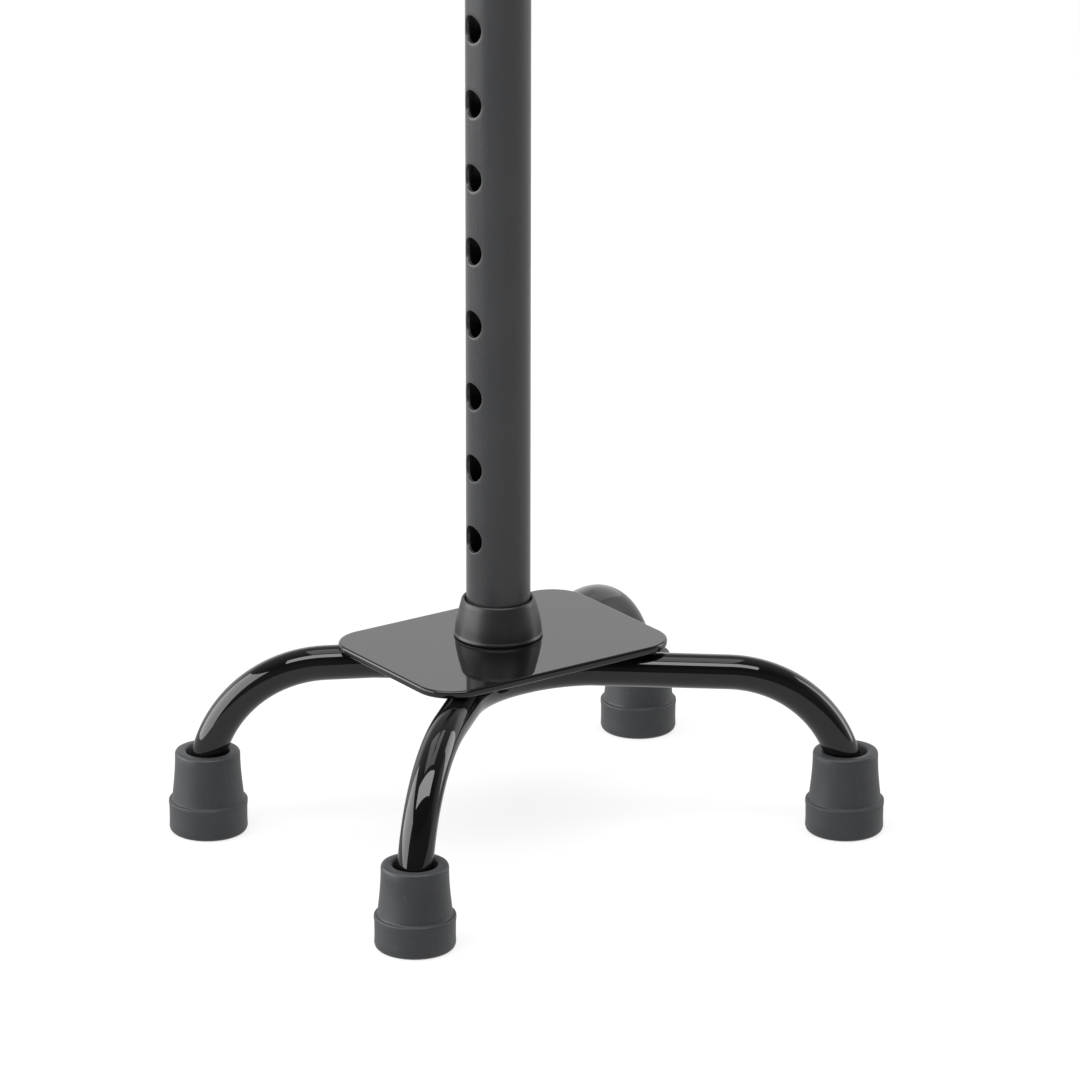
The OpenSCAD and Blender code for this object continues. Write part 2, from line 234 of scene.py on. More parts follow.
# Handling: faint smudges and settled dust, which vary the gloss from place to place
handling, given, gives = effect(
    "handling", [("Gloss", 0.1), ("Smudge", 0.05), ("Dust", 0.05)], ["Roughness", "Dust"]
)
smudge = fit_range(handling, noise(handling, given.outputs["Vector"], 38, 4), 0.42, 0.68, 0, 1)
specks = fit_range(handling, noise(handling, given.outputs["Vector"], 900, 2), 0.66, 0.74, 0, 1)
dusty = combine(handling, "MULTIPLY", specks, given.outputs["Dust"])
rough = combine(handling, "MULTIPLY", smudge, given.outputs["Smudge"])
rough = combine(handling, "ADD", rough, given.outputs["Gloss"])
rough = combine(handling, "ADD", rough, dusty)
handling.links.new(rough, gives.inputs["Roughness"])
handling.links.new(dusty, gives.inputs["Dust"])

# Grain: two sizes of soft unevenness for paint, rubber and moulded plastic
grain, given, gives = effect("grain", [("Coarse", 600), ("Fine", 2600), ("Fine share", 0.4)], ["Height"])
coarse = noise(grain, given.outputs["Vector"], 600, 2, given.outputs["Coarse"])
fine = noise(grain, given.outputs["Vector"], 2600, 3, given.outputs["Fine"])
fine = combine(grain, "MULTIPLY", fine, given.outputs["Fine share"])
grain.links.new(combine(grain, "ADD", coarse, fine), gives.inputs["Height"])


def place_effect(tree, made, vector, values):
    """Puts an effect into a material with its own values."""
    node = tree.nodes.new("ShaderNodeGroup")
    node.node_tree = made
    tree.links.new(vector, node.inputs["Vector"])
    for label, value in values:
        node.inputs[label].default_value = value
    return node


def blend_colours(tree, mask, under, over):
    """A colour that runs from under to over with the mask."""
    made = tree.nodes.new("ShaderNodeMix")
    made.data_type = "RGBA"
    made.inputs[6].default_value = (*under, 1)
    made.inputs[7].default_value = (*over, 1)
    tree.links.new(mask, made.inputs[0])
    return made.outputs[2]


dust_colour = (0.4, 0.39, 0.37)


def finish(name, under, over, handled, grained, bump, metallic=0.0, tone_scale=25):
    """A surface of two near tones with handling marks and grain."""
    made = bpy.data.materials.new(name)
    made.use_nodes = True
    tree = made.node_tree
    shader = tree.nodes["Principled BSDF"]
    shader.inputs["Metallic"].default_value = metallic
    at = tree.nodes.new("ShaderNodeTexCoord").outputs["Object"]
    marks = place_effect(tree, handling, at, handled)
    tone = fit_range(tree, noise(tree, at, tone_scale, 5), 0.35, 0.65, 0, 1)
    colour = blend_colours(tree, tone, under, over)
    dusted = tree.nodes.new("ShaderNodeMix")
    dusted.data_type = "RGBA"
    dusted.inputs[7].default_value = (*dust_colour, 1)
    tree.links.new(marks.outputs["Dust"], dusted.inputs[0])
    tree.links.new(colour, dusted.inputs[6])
    tree.links.new(dusted.outputs[2], shader.inputs["Base Color"])
    tree.links.new(marks.outputs["Roughness"], shader.inputs["Roughness"])
    surface = place_effect(tree, grain, at, grained)
    raised = tree.nodes.new("ShaderNodeBump")
    raised.inputs["Strength"].default_value = 1.0
    raised.inputs["Distance"].default_value = bump
    tree.links.new(surface.outputs["Height"], raised.inputs["Height"])
    tree.links.new(raised.outputs["Normal"], shader.inputs["Normal"])
    return made


gloss_black = finish(
    "gloss_black_paint", (0.0036, 0.0036, 0.0039), (0.0048, 0.0048, 0.0050),
    [("Gloss", 0.025), ("Smudge", 0.025), ("Dust", 0.003)],
    [("Coarse", 420), ("Fine", 1500), ("Fine share", 0.15)], 0.0000025,
)


def keep(bm, name, body, paint, replaced, sharp=32):
    """Turns a finished bmesh into a piece that rides on a body and stands for its CAD nodes."""
    bmesh.ops.remove_doubles(bm, verts=bm.verts, dist=1e-6)
    bmesh.ops.recalc_face_normals(bm, faces=bm.faces)
    for face in bm.faces:
        face.smooth = True
    for edge in bm.edges:
        edge.smooth = edge.is_boundary or edge.calc_face_angle(0) < math.radians(sharp)
    mesh = bpy.data.meshes.new(name)
    bm.to_mesh(mesh)
    bm.free()
    for material in paint:
        mesh.materials.append(material)
    piece = bpy.data.objects.new(name, mesh)
    bpy.context.scene.collection.objects.link(piece)
    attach(piece, body)
    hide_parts(*replaced)


def round_edges(bm, width, segments, steeper):
    """Rounds every edge where two faces meet at more than an angle in degrees."""
    chosen = [
        edge for edge in bm.edges
        if edge.is_manifold and edge.calc_face_angle(0) > math.radians(steeper)
    ]
    bmesh.ops.bevel(
        bm, geom=chosen, offset=width, offset_type="OFFSET", affect="EDGES", segments=segments,
        profile=0.5, material=-1, clamp_overlap=True,
    )


plate_low, plate_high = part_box("base_plate")
plate_middle = (plate_low + plate_high) / 2
plate_corner = 13 * mm
plate_edge = 0.8 * mm

bm = bmesh.new()
bmesh.ops.create_grid(bm, x_segments=1, y_segments=1, size=0.5)
bmesh.ops.scale(bm, vec=(plate_high.x - plate_low.x, plate_high.y - plate_low.y, 1), verts=bm.verts)
bmesh.ops.bevel(
    bm, geom=bm.verts, offset=plate_corner, offset_type="OFFSET", affect="VERTICES", segments=16,
    profile=0.5, material=-1,
)
bmesh.ops.translate(bm, vec=(plate_middle.x, plate_middle.y, plate_low.z), verts=bm.verts)
top = bmesh.ops.extrude_face_region(bm, geom=bm.faces[:])
top_verts = [item for item in top["geom"] if isinstance(item, bmesh.types.BMVert)]
bmesh.ops.translate(bm, vec=(0, 0, plate_high.z - plate_low.z), verts=top_verts)
bmesh.ops.recalc_face_normals(bm, faces=bm.faces)
round_edges(bm, plate_edge, 4, 60)
flats = [face for face in bm.faces if abs(face.normal.z) > 0.99 and len(face.verts) > 8]
bmesh.ops.inset_individual(bm, faces=flats, thickness=0.15 * mm, depth=0, use_even_offset=True)
keep(bm, "base_plate_painted", "base", [gloss_black], ["base_plate"])

# ---------------------------------------------------------------- Leg tubes
# Two steel tubes of 12 mm, each bent in plan under the plate and bent down at both ends, so that one
# tube makes two legs. They are welded under the plate and coated in the same gloss black.

leg_radius = 6 * mm
leg_plan_radius = 46 * mm
leg_slope = math.radians(4.6)
leg_drop_radius = 46 * mm
leg_drop_angle = math.radians(75)
leg_joint = 0.6 * mm
leg_foot_radius = 12 * mm
leg_half_middle = 1 * mm
leg_middle_x = -13.4 * mm
leg_z = plate_low.z - leg_radius
leg_sides = 40


def sweep_ring(bm, place, along, radius, sides):
    """A ring of points square to 'along', from which a tube is drawn."""
    turn = along.to_track_quat("Z", "Y").to_matrix().to_4x4()
    ring = bmesh.ops.create_circle(
        bm, cap_ends=False, segments=sides, radius=radius, matrix=Matrix.Translation(place) @ turn
    )
    return list({edge for vert in ring["verts"] for edge in vert.link_edges})


def draw_on(bm, ring, place, along, toward, moves, step=math.radians(3)):
    """Draws a tube on from a ring through straight runs and bends.

    A move is (length,) for a run, or (radius, angle) for a bend towards 'toward'. Returns the last ring,
    place and direction.
    """
    for move in moves:
        if len(move) == 1:
            grown = bmesh.ops.extrude_edge_only(bm, edges=ring)["geom"]
            ring = [item for item in grown if isinstance(item, bmesh.types.BMEdge)]
            ring = [edge for edge in ring if edge.is_boundary]
            verts = list({vert for edge in ring for vert in edge.verts})
            bmesh.ops.translate(bm, vec=along * move[0], verts=verts)
            place = place + along * move[0]
            continue
        radius, angle = move
        centre = place + toward * radius
        axis = along.cross(toward)
        count = max(2, round(angle / step))
        spun = bmesh.ops.spin(
            bm, geom=ring + list({vert for edge in ring for vert in edge.verts}), cent=centre, axis=axis,
            angle=angle, steps=count, use_merge=False, use_duplicate=False,
        )
        ring = [item for item in spun["geom_last"] if isinstance(item, bmesh.types.BMEdge)]
        swing = Matrix.Rotation(angle, 3, axis)
        place = centre + swing @ (place - centre)
        along, toward = swing @ along, swing @ toward
    return ring, place, along


def leg_tube(side, name):
    """One bent tube. side is -1 on the right and 1 on the left."""
    hand = "left" if side > 0 else "right"
    box_low, box_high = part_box(name)
    middle_y = box_low.y + leg_radius if side > 0 else box_high.y - leg_radius
    bm = bmesh.new()
    for end in (-1, 1):
        foot_low, foot_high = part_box(("foot_front_" if end > 0 else "foot_rear_") + hand)
        foot = (foot_low + foot_high) / 2
        start = Vector((leg_middle_x, middle_y, leg_z))
        across = abs(foot.y - middle_y) - leg_plan_radius
        reach = abs(foot.x - start.x) - leg_half_middle
        tangent = math.sqrt(reach**2 + across**2 - leg_plan_radius**2)
        plan_turn = math.atan2(leg_plan_radius, tangent) + math.atan2(across, reach)
        sunk = math.sin(leg_drop_angle)
        drop_run = leg_drop_radius * sunk + leg_joint * (1 + math.cos(leg_drop_angle))
        drop_run += leg_foot_radius * (1 - sunk)
        along, outward = Vector((end, 0, 0)), Vector((0, side, 0))
        ring = sweep_ring(bm, start, along, leg_radius, leg_sides)
        ring, place, along = draw_on(bm, ring, start, along, outward, [
            (leg_half_middle,),
            (leg_plan_radius, plan_turn),
            (leg_joint,),
        ])
        ring, place, along = draw_on(bm, ring, place, along, Vector((0, 0, -1)), [
            (leg_drop_radius, leg_slope),
            ((tangent - drop_run) / math.cos(leg_slope),),
            (leg_drop_radius, leg_drop_angle - leg_slope),
            (leg_joint,),
            (leg_foot_radius, math.radians(90) - leg_drop_angle),
        ])
        ring, place, along = draw_on(bm, ring, place, along, outward, [(place.z - box_low.z,)])
        bmesh.ops.edgeloop_fill(bm, edges=ring)
    bmesh.ops.remove_doubles(bm, verts=bm.verts, dist=1e-5)
    keep(bm, name + "_painted", "base", [gloss_black], [name])


leg_tube(-1, "leg_tube_right")
leg_tube(1, "leg_tube_left")

# ---------------------------------------------------------------- Rubber feet
# Moulded charcoal rubber: a thick base ring with a grooved tread, a small ledge, and a socket that
# tapers up round the leg. The rubber is matt with a fine skin and a little bloom.

dark_rubber = finish(
    "charcoal_rubber", (0.027, 0.0285, 0.031), (0.036, 0.038, 0.041),
    [("Gloss", 0.46), ("Smudge", 0.12), ("Dust", 0.06)],
    [("Coarse", 900), ("Fine", 4200), ("Fine share", 0.6)], 0.00003, tone_scale=60,
)


def turned(profile, place, along, steps=96, closed=False):
    """A round piece turned from (radius, height) points, about a line through 'place' along 'along'."""
    bm = bmesh.new()
    verts = [bm.verts.new((radius, 0, height)) for radius, height in profile]
    loop = verts[1:] + (verts[:1] if closed else [])
    edges = [bm.edges.new(pair) for pair in zip(verts, loop)]
    bmesh.ops.spin(
        bm, geom=verts + edges, cent=(0, 0, 0), axis=(0, 0, 1), angle=math.tau, steps=steps,
        use_merge=True, use_duplicate=False,
    )
    bmesh.ops.remove_doubles(bm, verts=bm.verts, dist=1e-7)
    bmesh.ops.recalc_face_normals(bm, faces=bm.faces)
    turn = along.to_track_quat("Z", "Y").to_matrix().to_4x4()
    bmesh.ops.transform(bm, matrix=Matrix.Translation(place) @ turn, verts=bm.verts)
    return bm


up = Vector((0, 0, 1))
foot_floor = 6.5 * mm
socket_radius = 6.05 * mm


def rubber_foot(name):
    """One foot, moulded to the size of its designed node."""
    low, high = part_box(name)
    place = Vector(((low.x + high.x) / 2, (low.y + high.y) / 2, low.z))
    radius, height = (high.x - low.x) / 2, high.z - low.z
    ring_top = 11.6 * mm
    bm = turned([
        (0, 0), (5 * mm, 0), (5.2 * mm, 1.2 * mm), (6.3 * mm, 1.2 * mm), (6.5 * mm, 0), (9 * mm, 0),
        (9.2 * mm, 1.2 * mm), (10.3 * mm, 1.2 * mm), (10.5 * mm, 0), (radius - 1.7 * mm, 0),
        (radius - 0.9 * mm, 0.25 * mm), (radius - 0.35 * mm, 0.8 * mm), (radius - 0.1 * mm, 1.7 * mm),
        (radius - 0.2 * mm, 4.5 * mm), (radius - 0.15 * mm, ring_top - 2.6 * mm),
        (radius, ring_top - 1.4 * mm), (radius, ring_top - 0.35 * mm),
        (radius - 0.3 * mm, ring_top), (radius - 0.95 * mm, ring_top + 0.02 * mm),
        (radius - 1.2 * mm, ring_top + 0.35 * mm), (radius - 1.45 * mm, ring_top + 2.9 * mm),
        (radius - 1.85 * mm, ring_top + 6.5 * mm), (radius - 2.18 * mm, ring_top + 10.4 * mm),
        (radius - 2.36 * mm, ring_top + 14.4 * mm), (radius - 2.36 * mm, height - 1.0 * mm),
        (radius - 2.65 * mm, height - 0.28 * mm), (radius - 3.35 * mm, height),
        (socket_radius + 1.9 * mm, height), (socket_radius + 1.5 * mm, height - 0.4 * mm),
        (socket_radius, height - 7.5 * mm), (socket_radius, foot_floor), (0, foot_floor),
    ], place, up)
    round_edges(bm, 0.18 * mm, 2, 28)
    keep(bm, name + "_moulded", "base", [dark_rubber], [name], sharp=50)


for foot_name in ("foot_front_right", "foot_front_left", "foot_rear_right", "foot_rear_left"):
    rubber_foot(foot_name)

# ---------------------------------------------------------------- Stem boot
# A flared rubber boot that hides the weld and the rivets at the stem's foot. It has a thin rim round
# the tube, a slightly swollen flank and a lip where it sits on the plate.

boot_rubber = finish(
    "boot_rubber", (0.010, 0.0105, 0.0115), (0.014, 0.0145, 0.0155),
    [("Gloss", 0.34), ("Smudge", 0.10), ("Dust", 0.03)],
    [("Coarse", 900), ("Fine", 4200), ("Fine share", 0.6)], 0.00002, tone_scale=60,
)
boot_low, boot_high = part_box("stem_boot")
boot_radius = (boot_high.x - boot_low.x) / 2
boot_height = boot_high.z - boot_low.z
bm = turned([
    (12.3 * mm, 0), (boot_radius - 0.5 * mm, 0), (boot_radius, 0.25 * mm), (boot_radius, 0.9 * mm),
    (boot_radius - 0.35 * mm, 1.4 * mm), (boot_radius - 0.45 * mm, 3.4 * mm),
    (boot_radius - 0.95 * mm, 6.2 * mm),
    (boot_radius - 1.65 * mm, 9.2 * mm), (boot_radius - 2.3 * mm, 11.6 * mm),
    (boot_radius - 2.6 * mm, boot_height - 0.5 * mm), (boot_radius - 2.95 * mm, boot_height),
    (11.8 * mm, boot_height), (11.4 * mm, boot_height - 0.5 * mm), (11.35 * mm, boot_height - 2.6 * mm),
    (12.3 * mm, boot_height - 3.4 * mm),
], stem + Vector((0, 0, boot_low.z)), up, closed=True)
round_edges(bm, 0.2 * mm, 3, 28)
keep(bm, "stem_boot_moulded", "base", [boot_rubber], ["stem_boot"], sharp=50)

# ---------------------------------------------------------------- Lower tube
# Drawn aluminium tube, anodised satin charcoal, with the draw lines running along it. The adjustment
# holes are drilled and their edges broken before anodising, so they are charcoal too, only smoother.

charcoal_tube = finish(
    "charcoal_anodised", (0.025, 0.026, 0.028), (0.031, 0.032, 0.034),
    [("Gloss", 0.27), ("Smudge", 0.06), ("Dust", 0.02)],
    [("Coarse", 1400), ("Fine", 5200), ("Fine share", 0.8)], 0.000006,
)


def add_draw_lines(made, strength, neck):
    """Fine lines along Z in the gloss of a drawn tube, which fade where the handle tube bends."""
    tree = made.node_tree
    shader = tree.nodes["Principled BSDF"]
    at = tree.nodes.new("ShaderNodeTexCoord").outputs["Object"]
    stretch = tree.nodes.new("ShaderNodeMapping")
    stretch.inputs["Scale"].default_value = (1, 1, 0.012)
    tree.links.new(at, stretch.inputs["Vector"])
    lines = noise(tree, stretch.outputs["Vector"], 1700, 4, roughness=0.7)
    shift = fit_range(tree, lines, 0.3, 0.7, -strength, strength)
    apart = tree.nodes.new("ShaderNodeSeparateXYZ")
    tree.links.new(at, apart.inputs["Vector"])
    straight = fit_range(tree, apart.outputs["Z"], neck - 0.02, neck, 1, 0)
    shift = combine(tree, "MULTIPLY", shift, straight)
    before = shader.inputs["Roughness"].links[0].from_socket
    tree.links.new(combine(tree, "ADD", before, shift), shader.inputs["Roughness"])


neck_height = 802 * mm
add_draw_lines(charcoal_tube, 0.045, neck_height)
drilled_edge = finish(
    "anodised_edge", (0.030, 0.031, 0.033), (0.040, 0.041, 0.043),
    [("Gloss", 0.34), ("Smudge", 0.08), ("Dust", 0.0)],
    [("Coarse", 2500), ("Fine", 6000), ("Fine share", 0.5)], 0.000012,
)


def drill(bm, height, column, cell, low, row, hole_radius):
    """Opens one hole in the sheet and pulls the squares round it into rings."""
    hole_ring, last_ring = 3, 8
    nearest_row = low + round((height - low) / row) * row
    middle_x = column * cell
    doomed = []
    for vert in bm.verts:
        steps_x = (vert.co.x - middle_x) / cell
        steps_y = (vert.co.y - nearest_row) / row
        ring = max(abs(steps_x), abs(steps_y))
        if ring > last_ring + 0.5:
            continue
        if ring < hole_ring - 0.5:
            doomed.append(vert)
            continue
        square = Vector((steps_x * cell, steps_y * row + nearest_row - height, 0))
        bearing = math.atan2(steps_y, steps_x)
        size = hole_radius + (ring - hole_ring) * cell
        circle = Vector((size * math.cos(bearing), size * math.sin(bearing), 0))
        share = max(0.0, (ring - hole_ring) / (last_ring - hole_ring))
        vert.co = Vector((middle_x, height, 0)) + circle.lerp(square, share * share * (3 - 2 * share))
    bmesh.ops.delete(bm, geom=doomed, context="VERTS")


def drilled_tube(radius, wall, low, high, holes, hole_radius, columns, broken, drawn_on=False):
    """A tube wall from low to high. Holes are (height, side), with side 1 at -X and -1 at +X.

    The wall starts as a flat sheet. Around each hole its squares are pulled into rings that run from a
    circle out to a square. Then it is given its thickness and rolled up, with its seam at -Y. Its top
    end is left sharp if the tube is to be drawn on.
    """
    cell = math.tau * radius / columns
    half_sheet = columns * cell / 2
    rows = round((high - low) / cell)
    row = (high - low) / rows
    bm = bmesh.new()
    bmesh.ops.create_grid(bm, x_segments=columns, y_segments=rows, size=0.5)
    bmesh.ops.transform(bm, matrix=Matrix.Diagonal((2 * half_sheet, high - low, 1, 1)), verts=bm.verts)
    bmesh.ops.translate(bm, vec=(0, (low + high) / 2, 0), verts=bm.verts)
    for height, side in holes:
        drill(bm, height, side * columns // 4, cell, low, row, hole_radius)
    grown = bmesh.ops.extrude_face_region(bm, geom=bm.faces[:], use_keep_orig=True)
    for item in grown["geom"]:
        if isinstance(item, bmesh.types.BMVert):
            item.co.z = -wall
    bmesh.ops.recalc_face_normals(bm, faces=bm.faces)
    hair = 1e-6
    top_rounded = high - hair if drawn_on else math.inf
    rims = [
        edge for edge in bm.edges
        if edge.is_manifold and edge.calc_face_angle(0) > math.radians(60)
        and min(vert.co.z for vert in edge.verts) > -hair / 10
        and abs(edge.verts[0].co.x) < half_sheet - hair
        and min(vert.co.y for vert in edge.verts) < top_rounded
    ]
    bmesh.ops.bevel(
        bm, geom=rims, offset=broken, offset_type="OFFSET", affect="EDGES", segments=2, profile=0.5,
        material=1, clamp_overlap=True,
    )
    for face in bm.faces:
        if abs(face.normal.z) < 0.3 and low + hair < face.calc_center_median().y < high - hair:
            face.material_index = 1
    seam = half_sheet - hair / 10
    bmesh.ops.delete(
        bm, geom=[face for face in bm.faces if all(abs(vert.co.x) > seam for vert in face.verts)],
        context="FACES",
    )
    for vert in bm.verts:
        angle = vert.co.x / radius + math.pi / 2
        around = radius + vert.co.z
        vert.co = stem + Vector((around * math.cos(angle), around * math.sin(angle), vert.co.y))
    return bm


lower_radius = (tube_high.x - tube_low.x) / 2
tube_wall = 1.2 * mm
hole_radius = 4.75 * mm
hole_pitch = 25.4 * mm
button_low, button_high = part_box("snap_button")
rest_hole_z = (button_low.z + button_high.z) / 2
hole_heights = [rest_hole_z + index * hole_pitch for index in range(-8, 2)]
bm = drilled_tube(
    lower_radius, tube_wall, tube_low.z, tube_high.z,
    [(height, side) for height in hole_heights for side in (1, -1)], hole_radius,
    columns=56, broken=0.28 * mm,
)
tube_paints = [charcoal_tube, drilled_edge]
keep(bm, "lower_tube_drawn", "base", tube_paints, ["lower_tube"], sharp=40)

# ---------------------------------------------------------------- Collar
# A moulded nylon sleeve fixed on the lower tube's top. It has a flange for the lock ring to sit on and
# a ribbed nose that the ring turns round. The plastic is black with a fine spark-eroded grain.

black_nylon = finish(
    "grained_black_nylon", (0.016, 0.016, 0.017), (0.022, 0.022, 0.023),
    [("Gloss", 0.36), ("Smudge", 0.08), ("Dust", 0.08)],
    [("Coarse", 1900), ("Fine", 5200), ("Fine share", 0.5)], 0.00002, tone_scale=70,
)

collar_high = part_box("collar_body")[1]
collar_z = tube_high.z
collar_radius = 14 * mm
nose_top = collar_high.z - collar_z
upper_radius = 9.5 * mm
seat_radius = lower_radius + 0.05 * mm
profile = [
    (seat_radius, -30 * mm), (collar_radius - 1.3 * mm, -30 * mm), (collar_radius - 0.9 * mm, -29.4 * mm),
    (collar_radius, -14 * mm), (collar_radius, -9.6 * mm), (collar_radius + 0.5 * mm, -9.1 * mm),
    (collar_radius + 2 * mm, -9 * mm), (collar_radius + 2.5 * mm, -8.4 * mm),
    (collar_radius + 2.5 * mm, -2.6 * mm), (collar_radius + 2 * mm, -2 * mm), (collar_radius, -2 * mm),
]
for rib in (3 * mm, 6 * mm, 9 * mm, 12 * mm):
    profile += [
        (collar_radius, rib - 0.9 * mm), (collar_radius + 0.6 * mm, rib - 0.3 * mm),
        (collar_radius + 0.6 * mm, rib + 0.3 * mm), (collar_radius, rib + 0.9 * mm),
    ]
profile += [
    (collar_radius, nose_top), (12.7 * mm, nose_top), (12.2 * mm, 4 * mm), (upper_radius + 0.5 * mm, 4 * mm),
    (upper_radius + 0.5 * mm, 0.05 * mm), (seat_radius, 0.05 * mm),
]
bm = turned(profile, stem + Vector((0, 0, collar_z)), up, closed=True)
round_edges(bm, 0.2 * mm, 3, 30)
keep(bm, "collar_moulded", "base", [black_nylon], ["collar_body"], sharp=50)

# ---------------------------------------------------------------- Lock ring
# A moulded ring with finger flutes round its skirt and a domed shoulder. Turning it squeezes the split
# bush in the collar round the handle tube.

ring_low, ring_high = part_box("lock_ring")
ring_radius = 18 * mm
ring_bottom = ring_low.z - collar_z
ring_top = ring_high.z - collar_z
skirt_bore = 15.2 * mm
flutes = 20
flute_depth = 0.8 * mm


def arc(middle_radius, middle_height, radius, first, last, steps):
    """Points of a profile's rounded corner, from the first angle to the last in degrees."""
    angles = [math.radians(first + (last - first) * step / steps) for step in range(steps + 1)]
    return [
        (middle_radius + radius * math.cos(angle), middle_height + radius * math.sin(angle))
        for angle in angles
    ]


def fluted(angle, height, radius):
    """Radius of the ring's outside, with rounded flutes that fade out towards both ends."""
    fade_low = min(1, max(0, (height - ring_bottom - 2.2 * mm) / (1.6 * mm)))
    fade_high = min(1, max(0, (ring_top - 3.0 * mm - height) / (2.4 * mm)))
    fade = min(fade_low, fade_high)
    fade = fade * fade * (3 - 2 * fade)
    wave = max(0, math.cos(angle * flutes)) ** 1.3
    return radius - flute_depth * fade * wave


skirt = [
    (skirt_bore, ring_bottom), (ring_radius - 0.8 * mm, ring_bottom),
    (ring_radius - 0.25 * mm, ring_bottom + 0.22 * mm), (ring_radius, ring_bottom + 0.8 * mm),
]
skirt += [(ring_radius, ring_bottom + 2.2 * mm + step * 1.15 * mm) for step in range(16)]
shoulder = 2.5 * mm
skirt += arc(ring_radius - shoulder, ring_top - shoulder, shoulder, 0, 90, 9)
skirt += [
    (upper_radius + 1 * mm, ring_top), (upper_radius + 0.6 * mm, ring_top - 0.15 * mm),
    (upper_radius + 0.5 * mm, ring_top - 0.5 * mm), (upper_radius + 0.5 * mm, 18.8 * mm),
    (13.6 * mm, 18.8 * mm), (13.6 * mm, 16.2 * mm), (14.6 * mm, 16.2 * mm), (skirt_bore, 15.6 * mm),
]
bm = turned(skirt, Vector((0, 0, 0)), up, steps=flutes * 16, closed=True)
for vert in bm.verts:
    radius = math.hypot(vert.co.x, vert.co.y)
    angle = math.atan2(vert.co.y, vert.co.x)
    if radius > skirt_bore + 0.1 * mm:
        wanted = fluted(angle, vert.co.z, radius)
        vert.co.x, vert.co.y = wanted * math.cos(angle), wanted * math.sin(angle)
bmesh.ops.translate(bm, vec=stem + Vector((0, 0, collar_z)), verts=bm.verts)
keep(bm, "lock_ring_moulded", "lock_ring", [black_nylon], ["lock_ring"], sharp=50)

# ---------------------------------------------------------------- Split bush
# Natural acetal, machined smooth. It keeps its designed shape, and the ring hides all but its slit.

natural_acetal = finish(
    "natural_acetal", (0.62, 0.61, 0.56), (0.72, 0.70, 0.66),
    [("Gloss", 0.32), ("Smudge", 0.1), ("Dust", 0.05)],
    [("Coarse", 1500), ("Fine", 4000), ("Fine share", 0.4)], 0.00001, tone_scale=50,
)


def dress(node, paint):
    """Gives a designed node its procedural material."""
    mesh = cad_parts[node].data
    mesh.materials.clear()
    mesh.materials.append(paint)


dress("collar_bush", natural_acetal)

# ---------------------------------------------------------------- Handle tube
# The drawn tube that slides in the stem, anodised to match it. It is bent back in a swan neck and
# forward again, so that the grip stands over the stem, and it has one hole for the snap button.

neck_lean = math.radians(55)
neck_low_radius = 50 * mm
neck_straight = 40 * mm
neck_top_radius = 38 * mm
tube_end, tube_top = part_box("upper_tube")
grip_low, grip_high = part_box("handle_grip")
grip_z = (grip_low.z + grip_high.z) / 2
neck_rise = (neck_low_radius + neck_top_radius) * math.sin(neck_lean)
neck_rise += neck_straight * math.cos(neck_lean) + neck_top_radius
neck_start = grip_z - neck_rise
upper_sides = 48
band_top = rest_hole_z + 14 * mm
bore_radius = upper_radius - tube_wall
back = Vector((-1, 0, 0))
hair = 1e-6
bm = drilled_tube(
    upper_radius, tube_wall, tube_end.z, band_top, [(rest_hole_z, 1)], hole_radius,
    columns=upper_sides, broken=0.2 * mm, drawn_on=True,
)
bmesh.ops.remove_doubles(bm, verts=bm.verts, dist=hair)
top_edges = [edge for edge in bm.edges if all(abs(vert.co.z - band_top) < hair for vert in edge.verts)]
top_faces = {face for edge in top_edges for face in edge.link_faces if abs(face.normal.z) > 0.9}
bmesh.ops.delete(bm, geom=list(top_faces), context="FACES_ONLY")
for radius in (upper_radius, bore_radius):
    ring = []
    for edge in bm.edges:
        heights = [vert.co.z for vert in edge.verts]
        reaches = [(vert.co - stem).to_2d().length for vert in edge.verts]
        at_top = all(abs(height - band_top) < hair for height in heights)
        on_wall = all(abs(reach - radius) < 0.2 * mm for reach in reaches)
        if edge.is_boundary and at_top and on_wall:
            ring.append(edge)
    ring, place, along = draw_on(bm, ring, stem + Vector((0, 0, band_top)), up, back, [
        (neck_start - band_top,),
        (neck_low_radius, neck_lean),
        (neck_straight,),
    ])
    over = (-back - along * along.dot(-back)).normalized()
    ring, place, along = draw_on(bm, ring, place, along, over, [
        (neck_top_radius, math.radians(90) + neck_lean),
    ])
    draw_on(bm, ring, place, along, up, [(tube_top.x - place.x,)])
front = tube_top.x - 10 * hair
ends = [edge for edge in bm.edges if edge.is_boundary and min(vert.co.x for vert in edge.verts) > front]
bmesh.ops.bridge_loops(bm, edges=ends)
keep(bm, "upper_tube_drawn", "handle", tube_paints, ["upper_tube"], sharp=40)

# ---------------------------------------------------------------- Snap button
# A turned steel button, zinc plated, with a domed top and a flange that stays inside the handle tube.

zinc_steel = finish(
    "zinc_steel", (0.46, 0.47, 0.49), (0.56, 0.56, 0.57),
    [("Gloss", 0.22), ("Smudge", 0.14), ("Dust", 0.03)],
    [("Coarse", 900), ("Fine", 3800), ("Fine share", 0.6)], 0.000008, metallic=1.0, tone_scale=80,
)

button_radius = 4.55 * mm
button_top = stem.x - button_low.x
button_foot = stem.x - button_high.x
flange_radius = 5.4 * mm
flange_top = button_foot + 0.6 * mm
crown = 1.6 * mm
bm = turned(
    [
        (0, button_foot), (flange_radius, button_foot), (flange_radius, flange_top),
        (button_radius, flange_top),
        *arc(button_radius - crown, button_top - crown, crown, 0, 90, 6),
        (0, button_top),
    ],
    stem + Vector((0, 0, rest_hole_z)), back, steps=64,
)
keep(bm, "snap_button_turned", "button", [zinc_steel], ["snap_button"], sharp=40)

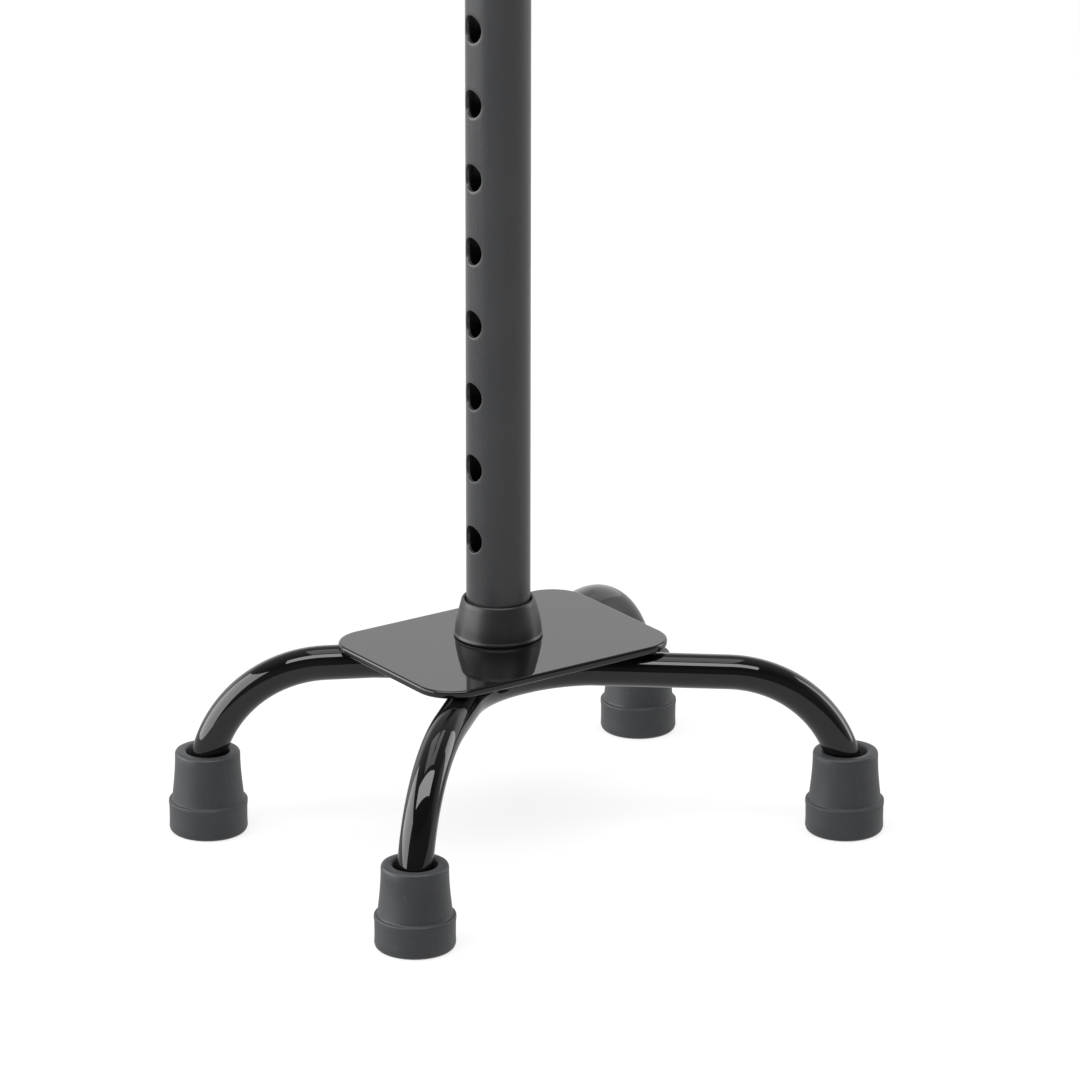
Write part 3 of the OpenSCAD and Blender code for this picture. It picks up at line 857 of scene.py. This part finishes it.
# ---------------------------------------------------------------- Hidden steel and plastic
# The spigot and its rivets, the washers in the feet, the button's leaf spring and the guide in the
# handle tube's end keep their designed shapes. The welds are steel under the base's black paint.

for node in ("stem_spigot", "spigot_rivets", "foot_washers", "button_spring"):
    dress(node, zinc_steel)
dress("tube_end_guide", black_nylon)
weld_paint = finish(
    "painted_weld", (0.0085, 0.0085, 0.009), (0.012, 0.012, 0.0125),
    [("Gloss", 0.16), ("Smudge", 0.08), ("Dust", 0.12)],
    [("Coarse", 340), ("Fine", 900), ("Fine share", 0.5)], 0.00025,
)
for node in ("spigot_weld", "leg_welds"):
    dress(node, weld_paint)

# ---------------------------------------------------------------- Grip
# A sleeve of closed-cell foam pushed over the handle tube. It is a little fuller in the middle, soft at
# its ends, and its skin shows the open pores of cut cells.

foam = finish(
    "closed_cell_foam", (0.013, 0.013, 0.014), (0.022, 0.022, 0.023),
    [("Gloss", 0.78), ("Smudge", 0.06), ("Dust", 0.16)],
    [("Coarse", 1300), ("Fine", 3600), ("Fine share", 0.7)], 0.00028, tone_scale=160,
)
tree = foam.node_tree
at = tree.nodes.new("ShaderNodeTexCoord").outputs["Object"]
cells = tree.nodes.new("ShaderNodeTexVoronoi")
cells.inputs["Scale"].default_value = 950
tree.links.new(at, cells.inputs["Vector"])
pores = fit_range(tree, cells.outputs["Distance"], 0.05, 0.45, 0, 1)
raised = next(node for node in tree.nodes if node.bl_idname == "ShaderNodeBump")
before = raised.inputs["Height"].links[0].from_socket
tree.links.new(combine(tree, "ADD", before, pores), raised.inputs["Height"])

grip_length = grip_high.x - grip_low.x
grip_end_radius = 15.5 * mm
grip_swell = 1.6 * mm
grip_soft = 5 * mm
grip_bore = upper_radius + 0.04 * mm
sleeve = [(grip_bore, 0)]
sleeve += arc(grip_end_radius - grip_soft, grip_soft, grip_soft, -90, 0, 10)
waves = 48
for index in range(1, waves):
    share = index / waves
    height = grip_soft + (grip_length - 2 * grip_soft) * share
    sleeve.append((grip_end_radius + grip_swell * math.sin(math.pi * share) ** 2, height))
sleeve += arc(grip_end_radius - grip_soft, grip_length - grip_soft, grip_soft, 0, 90, 10)
sleeve.append((grip_bore, grip_length))
forward = Vector((1, 0, 0))
bm = turned(sleeve, Vector((grip_low.x, stem.y, grip_z)), forward, closed=True)
keep(bm, "foam_grip", "handle", [foam], ["handle_grip"], sharp=60)

# ---------------------------------------------------------------- End plug
# A moulded nylon plug that closes the handle tube in front of the grip and keeps the foam in place.

plug_low, plug_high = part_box("handle_end_plug")
plug_face = tube_top.x
plug_head = plug_high.x - plug_face
plug_stem = plug_face - plug_low.x
plug_radius = 11.5 * mm
plug_edge = 1.5 * mm
spigot_radius = bore_radius - 0.02 * mm
bm = turned(
    [
        (0, -plug_stem), (bore_radius - 0.6 * mm, -plug_stem), (spigot_radius, 1 * mm - plug_stem),
        (spigot_radius, 0), (plug_radius - 0.2 * mm, 0),
        *arc(plug_radius - plug_edge, plug_edge, plug_edge, 0, 90, 6),
        (plug_radius * 0.45, plug_head - 0.1 * mm), (0, plug_head),
    ],
    Vector((plug_face, stem.y, grip_z)), forward,
)
keep(bm, "end_plug_moulded", "handle", [black_nylon], ["handle_end_plug"], sharp=40)
